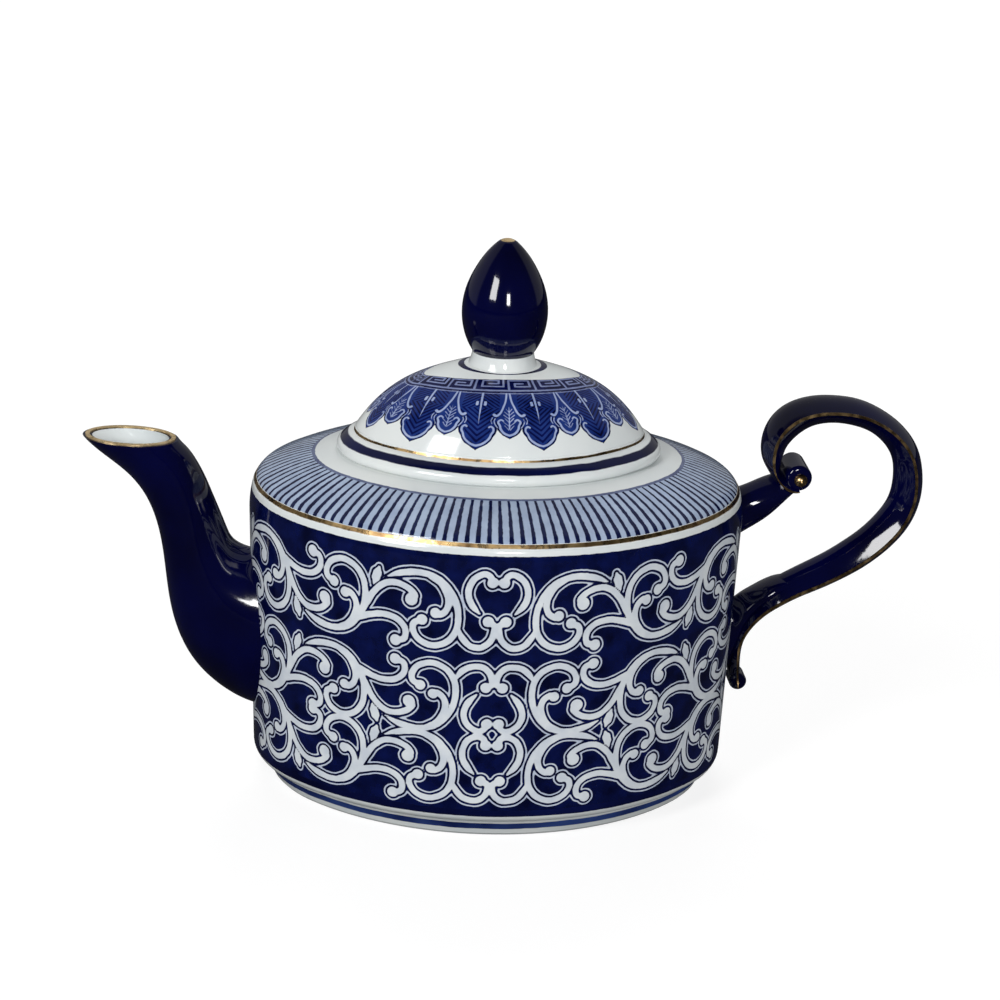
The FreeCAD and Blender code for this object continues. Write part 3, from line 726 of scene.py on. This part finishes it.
def dome_height(x, y):
    """Height of the dome over a plan place, found by halving."""
    x = np.abs(x - POT_AXIS)
    y = np.abs(y)
    low = np.zeros(x.shape)
    high = np.ones(x.shape)
    for _ in range(HALVINGS):
        share = (low + high) / 2
        shrink = (1 - share) ** CROWN_ROUNDING
        end = np.hypot(x - END_CENTER * shrink, y) + END_CENTER * shrink
        side = np.hypot(x, y + SIDE_CENTER * shrink) - (ARC_DIFFERENCE - END_CENTER) * shrink
        on_end = np.arctan2(y, x - END_CENTER * shrink) <= END_HALF_ANGLE
        half_length = DOME_EDGE[0] + share * (DOME_CROWN[0] - DOME_EDGE[0])
        outside = np.where(on_end, end, side) > half_length
        high = np.where(outside, share, high)
        low = np.where(outside, low, share)
    rise = DOME_CROWN_SLOPE * share + (1 - DOME_CROWN_SLOPE) * (1 - (1 - share) ** DOME_FULLNESS)
    return DOME_EDGE[1] + rise * (DOME_CROWN[1] - DOME_EDGE[1])


# %% [markdown]
# Large and small leaves hang in turn from the key band. Each leaf is drawn about its own
# middle line, in millimetres, with heights measured up the dome from the gilt line.

# %% Leaves
LEAF_PAIRS = 12
TURN_MM = 99.0
RISE_MM = 49.0
LARGE_LEAF = [(1.8, 0.0), (2.6, 1.5), (3.2, 2.6), (4.2, 3.5), (5.0, 3.8), (5.9, 4.5), (6.8, 4.8),
              (8.0, 4.7), (9.4, 4.9), (10.5, 7.0)]
SMALL_LEAF = [(4.7, 0.0), (5.5, 1.5), (6.3, 2.4), (7.3, 3.0), (8.7, 3.4), (9.6, 3.5), (10.5, 5.0)]
LARGE_FRAME = [(2.9, 7.7, 0.24), (3.4, 8.0, 0.24), (4.0, 7.5, 0.24), (4.1, 6.6, 0.24), (3.6, 5.8, 0.22),
               (3.3, 4.9, 0.24), (2.6, 4.0, 0.25), (1.3, 3.1, 0.24), (0.0, 2.7, 0.22)]
LARGE_DOT = [(1.2, 15.8, 0.40), (1.2, 17.0, 0.40)]
LARGE_RIB = [(0.0, 21.6, 0.36), (0.0, 15.0, 0.26), (0.0, 8.6, 0.04)]
VOLUTE = [(0.5, 21.6, 0.3), (0.9, 17.6, 0.3), (1.6, 15.0, 0.3), (2.1, 13.4, 0.3), (2.7, 12.2, 0.32),
          (3.5, 11.5, 0.38), (4.2, 11.9, 0.42)]
SMALL_FRAME = [(1.6, 9.8, 0.24), (2.3, 10.2, 0.26), (3.0, 9.4, 0.27), (2.5, 8.3, 0.27),
               (2.3, 7.3, 0.27), (1.4, 6.1, 0.26), (0.0, 5.5, 0.24)]
SMALL_SHEATH = [(3.8, 10.6, 0.13), (4.1, 9.7, 0.14), (3.8, 8.7, 0.14), (3.1, 7.6, 0.12)]
OUTER_SHEATH = [(4.6, 10.9, 0.13), (4.9, 9.8, 0.14), (4.6, 8.8, 0.13)]
SMALL_RIB = [(0.0, 15.0, 0.08), (0.0, 7.4, 0.16)]
SMALL_VEIN_FEET = [(7.0, 1.2), (8.2, 1.6), (9.4, 1.2), (10.6, 1.5), (11.8, 1.3), (13.0, 0.9)]
SMALL_VEINS = [[(0.15, foot, 0.09), (reach, foot + 1.3, 0.12)] for foot, reach in SMALL_VEIN_FEET]
SMALL_MARKS = segments_of(
    [smooth_line(line) for line in (VOLUTE, SMALL_FRAME, SMALL_SHEATH, OUTER_SHEATH)]
    + [np.array(line) for line in [SMALL_RIB] + SMALL_VEINS])
LARGE_MARKS = segments_of([smooth_line(LARGE_FRAME), np.array(LARGE_RIB), np.array(LARGE_DOT)])
LEAF_SLANT = 0.8
OUTLINE_TOP = 9.6
LEAF_LINE = 0.22
LEAF_LINE_INSET = 0.05
VEIN_PITCH = 1.5
VEIN_LEAN = 0.9
VEIN_TURN = 14.5
VEIN_SLANT = 0.74
VEIN_LINE = 0.26
VEIN_MARGIN = 1.1
VEIN_OUT = 6.5
NO_PAINT = 1.0
print("leaf segments", len(SMALL_MARKS[0]) + len(LARGE_MARKS[0]))


def leaf_edge(out, rise, outline):
    """Distance outside a leaf's outline of (height, half width)."""
    heights, widths = np.array(outline).T
    width = np.interp(rise, heights, widths)
    return np.where(rise < heights[0], np.hypot(out, rise - heights[0]), (out - width) * LEAF_SLANT)


def leaf_layers(turn, share):
    """Distances to the blue of the leaves, to their dark lines and to their pale lines."""
    rise = share * RISE_MM
    step = turn * LEAF_PAIRS / 2
    small_out = np.abs(step - np.round(step)) * 2 / LEAF_PAIRS * TURN_MM
    large_out = np.abs(step - 0.5 - np.round(step - 0.5)) * 2 / LEAF_PAIRS * TURN_MM
    large = leaf_edge(large_out, rise, LARGE_LEAF)
    small = leaf_edge(small_out, rise, SMALL_LEAF)
    blue = np.minimum(large, small)
    edge = np.minimum(np.abs(large + LEAF_LINE_INSET), np.abs(small + LEAF_LINE_INSET))
    outline = np.where(rise < OUTLINE_TOP, edge - LEAF_LINE, NO_PAINT)
    lean = np.where(rise < VEIN_TURN, -VEIN_LEAN, VEIN_LEAN)
    wave = np.abs((rise + lean * large_out) / VEIN_PITCH % 1.0 - 0.5) * VEIN_PITCH * VEIN_SLANT
    veined = (large < -VEIN_MARGIN) & (large_out < VEIN_OUT)
    veins = np.where(veined, wave - VEIN_LINE, NO_PAINT)
    marks = np.minimum(stroke_reach(small_out.ravel(), rise.ravel(), SMALL_MARKS),
                       stroke_reach(large_out.ravel(), rise.ravel(), LARGE_MARKS)).reshape(rise.shape)
    return blue, np.minimum(outline, veins), marks


# %% [markdown]
# The key band is a row of square spirals, with every second one turned over, between two
# pale border lines.

# %% Key band
KEY_UNITS = 18
KEY_WIDTH = 7.45
KEY_RISE_MM = 36.0
KEY_LOW = 0.445
KEY_HIGH = 0.608
KEY_BASE = 0.472
KEY_LINE = 0.27
KEY_BORDER = 0.3
KEY_FOOT = 0.14
KEY_FOOT_DROP = 0.006
KEY_OPEN = [(0.35, 0.0), (0.35, 4.4), (5.7, 4.4), (5.7, 1.7), (1.9, 1.7), (1.9, 3.0), (4.1, 3.0)]
KEY_TURNED = [(6.5, 4.9), (6.5, 1.7), (1.2, 1.7), (1.2, 4.4), (5.3, 4.4), (5.3, 3.0), (2.9, 3.0)]
KEY_POST = [(6.95, 0.0), (6.95, 4.9)]


def key_reach(turn, share):
    """Distance to the pale lines of the key band."""
    step = turn * KEY_UNITS / 2
    across = (step % 1.0 * KEY_WIDTH).ravel()
    rise = ((share - KEY_BASE) * KEY_RISE_MM).ravel()
    turned = (np.floor(step) % 2 == 1).ravel()
    lines = [np.array([(x, y, KEY_LINE) for x, y in line])
             for line in (KEY_OPEN, KEY_POST, KEY_TURNED)]
    plain = stroke_reach(across, rise, segments_of(lines[:2]))
    other = stroke_reach(across, rise, segments_of(lines[2:]))
    spirals = np.where(turned, other, plain).reshape(turn.shape)
    spirals = np.where((share > KEY_LOW) & (share < KEY_HIGH), spirals, NO_PAINT)
    border = np.abs(share - KEY_BASE) * KEY_RISE_MM - KEY_BORDER
    foot = np.abs(share - KEY_LOW + KEY_FOOT_DROP) * KEY_RISE_MM - KEY_FOOT
    return np.minimum(spirals, np.minimum(border, foot))


# %% [markdown]
# The dome's paint goes on in two halves that meet over the spout and the handle. One sheet fine
# enough for the veins would have more triangles than a single piece should, and a coarser one
# would blur them. Blue leaves come first, then dark lines with a painted shadow round the foot of
# the collar, the key and the pale lines.

# %% Painted dome
LID_COLUMNS = 400
LID_ROWS = 236
LID_SKIN_END = 0.975
# Above this share the dome is painted deep blue: the navy line round the collar's foot, widened with
# painted shadow from the collar's flare
COLLAR_LINE_AND_SHADOW = 0.918
COLLAR_RISE_MM = 30.0
LID_LIFT = 0.14
BLUE = ((0.004, 0.014, 0.110), (0.016, 0.040, 0.200))
DEEP_BLUE = ((0.0006, 0.0012, 0.022), (0.0025, 0.0065, 0.075))
KEY_PALE = ((0.13, 0.16, 0.32), (0.26, 0.31, 0.50))
LAVENDER = ((0.25, 0.32, 0.54), (0.38, 0.44, 0.63))


def make_painted_dome(name, first_turn, finish):
    """Half of the dome's paint, from one turn to the turn opposite."""
    share = np.linspace(0.0, LID_SKIN_END, LID_ROWS)[:, None]
    turn = np.linspace(first_turn, first_turn + 1.0, LID_COLUMNS + 1)[None, :]
    turn = (turn + 1.0) % 2.0 - 1.0
    length = np.interp(share, BAND_SHARES, BAND_HALF_LENGTHS)
    width = np.interp(share, BAND_SHARES, BAND_HALF_WIDTHS)
    x, y = oval_point(turn, length, (length - width) / OVAL_DIFFERENCE, LID_PACE)
    lift = np.full(LID_ROWS, LID_LIFT)
    lift[[0, -1]] = EDGE_SINK
    places = raise_skin(np.stack([x, y, dome_height(x, y)], axis=2), lift)
    turn = np.broadcast_to(turn, x.shape)
    share = np.broadcast_to(share, x.shape)
    blue, dark, pale = leaf_layers(turn, share)
    on_leaves = share < KEY_LOW
    key = np.abs(share - (KEY_LOW + KEY_HIGH) / 2) - (KEY_HIGH - KEY_LOW) / 2
    # The dark ring round the collar's foot is partly its navy line and partly painted shadow
    ring = (COLLAR_LINE_AND_SHADOW - share) * COLLAR_RISE_MM
    layers = {
        "leaf": np.where(on_leaves, blue, NO_PAINT),
        "dark_paint_and_shadow": np.minimum(np.where(on_leaves, dark, key * KEY_RISE_MM), ring),
        "key": key_reach(turn, share),
        "edge": np.where(on_leaves, pale, NO_PAINT),
    }
    make_skin(name, places, layers, finish, "cover")


LID_PAINTS = [("leaf", BLUE), ("dark_paint_and_shadow", DEEP_BLUE), ("key", KEY_PALE), ("edge", LAVENDER)]
LID_GLAZE = painted_glaze("lid_glaze", LID_PAINTS, soft=0.08, wander=0.05)
make_painted_dome("painted_dome_front", -0.5, LID_GLAZE)
make_painted_dome("painted_dome_back", 0.5, LID_GLAZE)

# %% [markdown]
# Inside the mouth of the spout the glaze is white. A short lining follows the passage down
# from the rim, through the same upright ovals that shape the spout.

# %% Spout lining
WALL_REACH = -79.9
SPOUT_WALL = 2.8
# Stations near the mouth: (outer reach, outer height, inner reach, inner height, half width)
SPOUT_STATIONS = [(26.9, 74.0, 12.1, 92.6, 10.1), (29.7, 85.2, 14.2, 97.4, 9.4),
                  (34.2, 93.9, 16.8, 102.2, 9.3), (41.8, 101.6, 19.5, 105.9, 9.8),
                  (51.6, 110.2, 22.3, 109.0, 10.6)]
LINING_GAP = 0.12
LINING_STEPS = 8
LINING_SIDES = 72


def make_spout_lining():
    """A white tube just inside the passage, through the ovals of the stations."""
    stations = smooth_line(SPOUT_STATIONS, LINING_STEPS)
    around = np.linspace(0.0, 2 * math.pi, LINING_SIDES, endpoint=False)
    outer = np.stack([WALL_REACH - stations[:, 0], stations[:, 1]], axis=1)
    inner = np.stack([WALL_REACH - stations[:, 2], stations[:, 3]], axis=1)
    middle = (outer + inner) / 2
    along = (inner - outer) / 2
    half = np.linalg.norm(along, axis=1, keepdims=True)
    depth = SPOUT_WALL + LINING_GAP
    along *= 1 - depth / half
    swing = middle[:, None] + along[:, None] * np.cos(around)[None, :, None]
    across = (stations[:, 4:] - depth) * np.sin(around)[None, :]
    places = np.stack([swing[..., 0], across, swing[..., 1]], axis=2)
    make_skin("spout_lining", places, {}, banded_white("lining_glaze", []), "pot", joined=True)


make_spout_lining()

# %% [markdown]
# The photograph was taken with a long lens from a little above the lid, a little towards the
# spout, and slightly turned. The camera repeats that: it is aimed at a point near the middle of
# the pot, set back along one direction, and rolled about its own line of sight.

# %% Camera
PHOTO_LENS_PX = 3523.0
PHOTO_SIZE_PX = 1000.0
SENSOR_MM = 36.0
CAMERA_DISTANCE = 1.100
CAMERA_ELEVATION = math.radians(18.7)
CAMERA_AZIMUTH = math.radians(-6.3)
CAMERA_ROLL = math.radians(2.47)
AIM = Vector((-2.0, 0.0, 89.8)) * MM


def direction(azimuth, elevation):
    """Unit vector from the pot: azimuth 0 is the front, and turns towards the handle."""
    level = math.cos(elevation)
    return Vector((math.sin(azimuth) * level, -math.cos(azimuth) * level, math.sin(elevation)))


def place_camera():
    """A camera at the photograph's place, with the photograph's lens."""
    back = direction(CAMERA_AZIMUTH, CAMERA_ELEVATION)
    level = Vector((math.cos(CAMERA_AZIMUTH), math.sin(CAMERA_AZIMUTH), 0.0))
    upright = back.cross(level)
    right = level * math.cos(CAMERA_ROLL) + upright * math.sin(CAMERA_ROLL)
    up = upright * math.cos(CAMERA_ROLL) - level * math.sin(CAMERA_ROLL)
    lens = bpy.data.cameras.new("photo_camera")
    lens.sensor_width = SENSOR_MM
    lens.lens = SENSOR_MM * PHOTO_LENS_PX / PHOTO_SIZE_PX
    lens.clip_start = 0.05
    camera = bpy.data.objects.new("photo_camera", lens)
    bpy.context.scene.collection.objects.link(camera)
    turn = Matrix((right, up, back)).transposed().to_4x4()
    camera.matrix_world = Matrix.Translation(AIM + back * CAMERA_DISTANCE) @ turn
    bpy.context.scene.camera = camera
    print("camera lens", round(lens.lens, 1), "mm")


place_camera()

# %% [markdown]
# The floor is white to the camera and keeps the pot's soft shadow. Lighting it until it is white
# would flood the pot, so a glow that only camera rays see lifts it instead. In the reflections
# the floor stays dim, because the dark glaze would mirror a white one and turn grey.

# %% Floor
FLOOR_FILL = 0.80
FLOOR_SIZE = 8.0
FLOOR_DROP = 0.0002
FLOOR_SCALE = 3.0
FLOOR_GREY = ((0.26, 0.26, 0.26), (0.28, 0.28, 0.28))
MIRRORED_GREY = ((0.03, 0.03, 0.03), (0.04, 0.04, 0.04))


def make_floor():
    """A wide plane just under the foot."""
    bpy.ops.mesh.primitive_plane_add(size=FLOOR_SIZE, location=(0.0, 0.0, -FLOOR_DROP))
    floor = bpy.context.object
    floor.name = "floor"
    material, nodes, links, shader = new_finish("white_floor")
    grey = mottled(nodes, links, *FLOOR_GREY, FLOOR_SCALE)
    mirrored = mottled(nodes, links, *MIRRORED_GREY, FLOOR_SCALE)
    path = nodes.new("ShaderNodeLightPath")
    colour = blend(nodes, links, path.outputs["Is Glossy Ray"], grey, mirrored)
    links.new(colour, shader.inputs["Base Color"])
    shader.inputs["Roughness"].default_value = 0.7
    shader.inputs["Specular IOR Level"].default_value = 0.0
    shader.inputs["Emission Color"].default_value = (1.0, 1.0, 1.0, 1.0)
    fill = calculate(nodes, links, "MULTIPLY", path.outputs["Is Camera Ray"], FLOOR_FILL)
    links.new(fill, shader.inputs["Emission Strength"])
    floor.data.materials.append(material)
    print("floor", FLOOR_SIZE, "m wide")


make_floor()

# %% [markdown]
# Gloss shows whatever stands round it. A pale sheet behind the pot and a dim room in front of it
# come from the world. Two small window lamps in front make the bright patches on the bud, the
# lid and the handle. Two large fills light the right side and the back, and the glaze does not
# mirror those, because they would show in it as hard squares.

# %% World and lamps
SHEET_LIGHT = 0.24
ROOM_LIGHT = 0.03
SHEET_EDGE = (-0.06, 0.10)
# Each lamp: (name, azimuth, elevation, distance, size, power, whether the glaze mirrors it)
LAMPS = [("window_left", -43.0, 28.0, 1.5, (0.46, 0.62), 15.0, True),
         ("window_front", 3.0, 19.0, 1.7, (0.24, 0.44), 10.2, True),
         ("bounce_right", 64.0, 4.0, 2.2, (1.2, 1.2), 19.0, False),
         ("bounce_back", 176.0, 40.0, 2.0, (1.4, 1.0), 24.0, False)]


def light_room():
    """A pale sheet behind the pot and a dim room in front of it."""
    world = bpy.data.worlds.new("studio")
    bpy.context.scene.world = world
    world.use_nodes = True
    nodes = world.node_tree.nodes
    links = world.node_tree.links
    place = nodes.new("ShaderNodeTexCoord")
    parts = nodes.new("ShaderNodeSeparateXYZ")
    links.new(place.outputs["Generated"], parts.inputs["Vector"])
    strength = remap(nodes, links, parts.outputs["Y"], *SHEET_EDGE, ROOM_LIGHT, SHEET_LIGHT)
    nodes["Background"].inputs["Color"].default_value = (1.0, 1.0, 1.0, 1.0)
    links.new(strength, nodes["Background"].inputs["Strength"])


def make_lamp(name, azimuth, elevation, distance, size, power, mirrored):
    """One rectangular lamp that looks at the middle of the pot."""
    light = bpy.data.lights.new(name, "AREA")
    light.shape = "RECTANGLE"
    light.size, light.size_y = size
    light.energy = power
    lamp = bpy.data.objects.new(name, light)
    bpy.context.scene.collection.objects.link(lamp)
    towards = direction(math.radians(azimuth), math.radians(elevation))
    lamp.location = AIM + towards * distance
    lamp.rotation_euler = (-towards).to_track_quat("-Z", "Y").to_euler()
    lamp.visible_glossy = mirrored


light_room()
for lamp in LAMPS:
    make_lamp(*lamp)
bpy.context.scene.view_settings.view_transform = "Standard"
print("lamps", len(LAMPS))
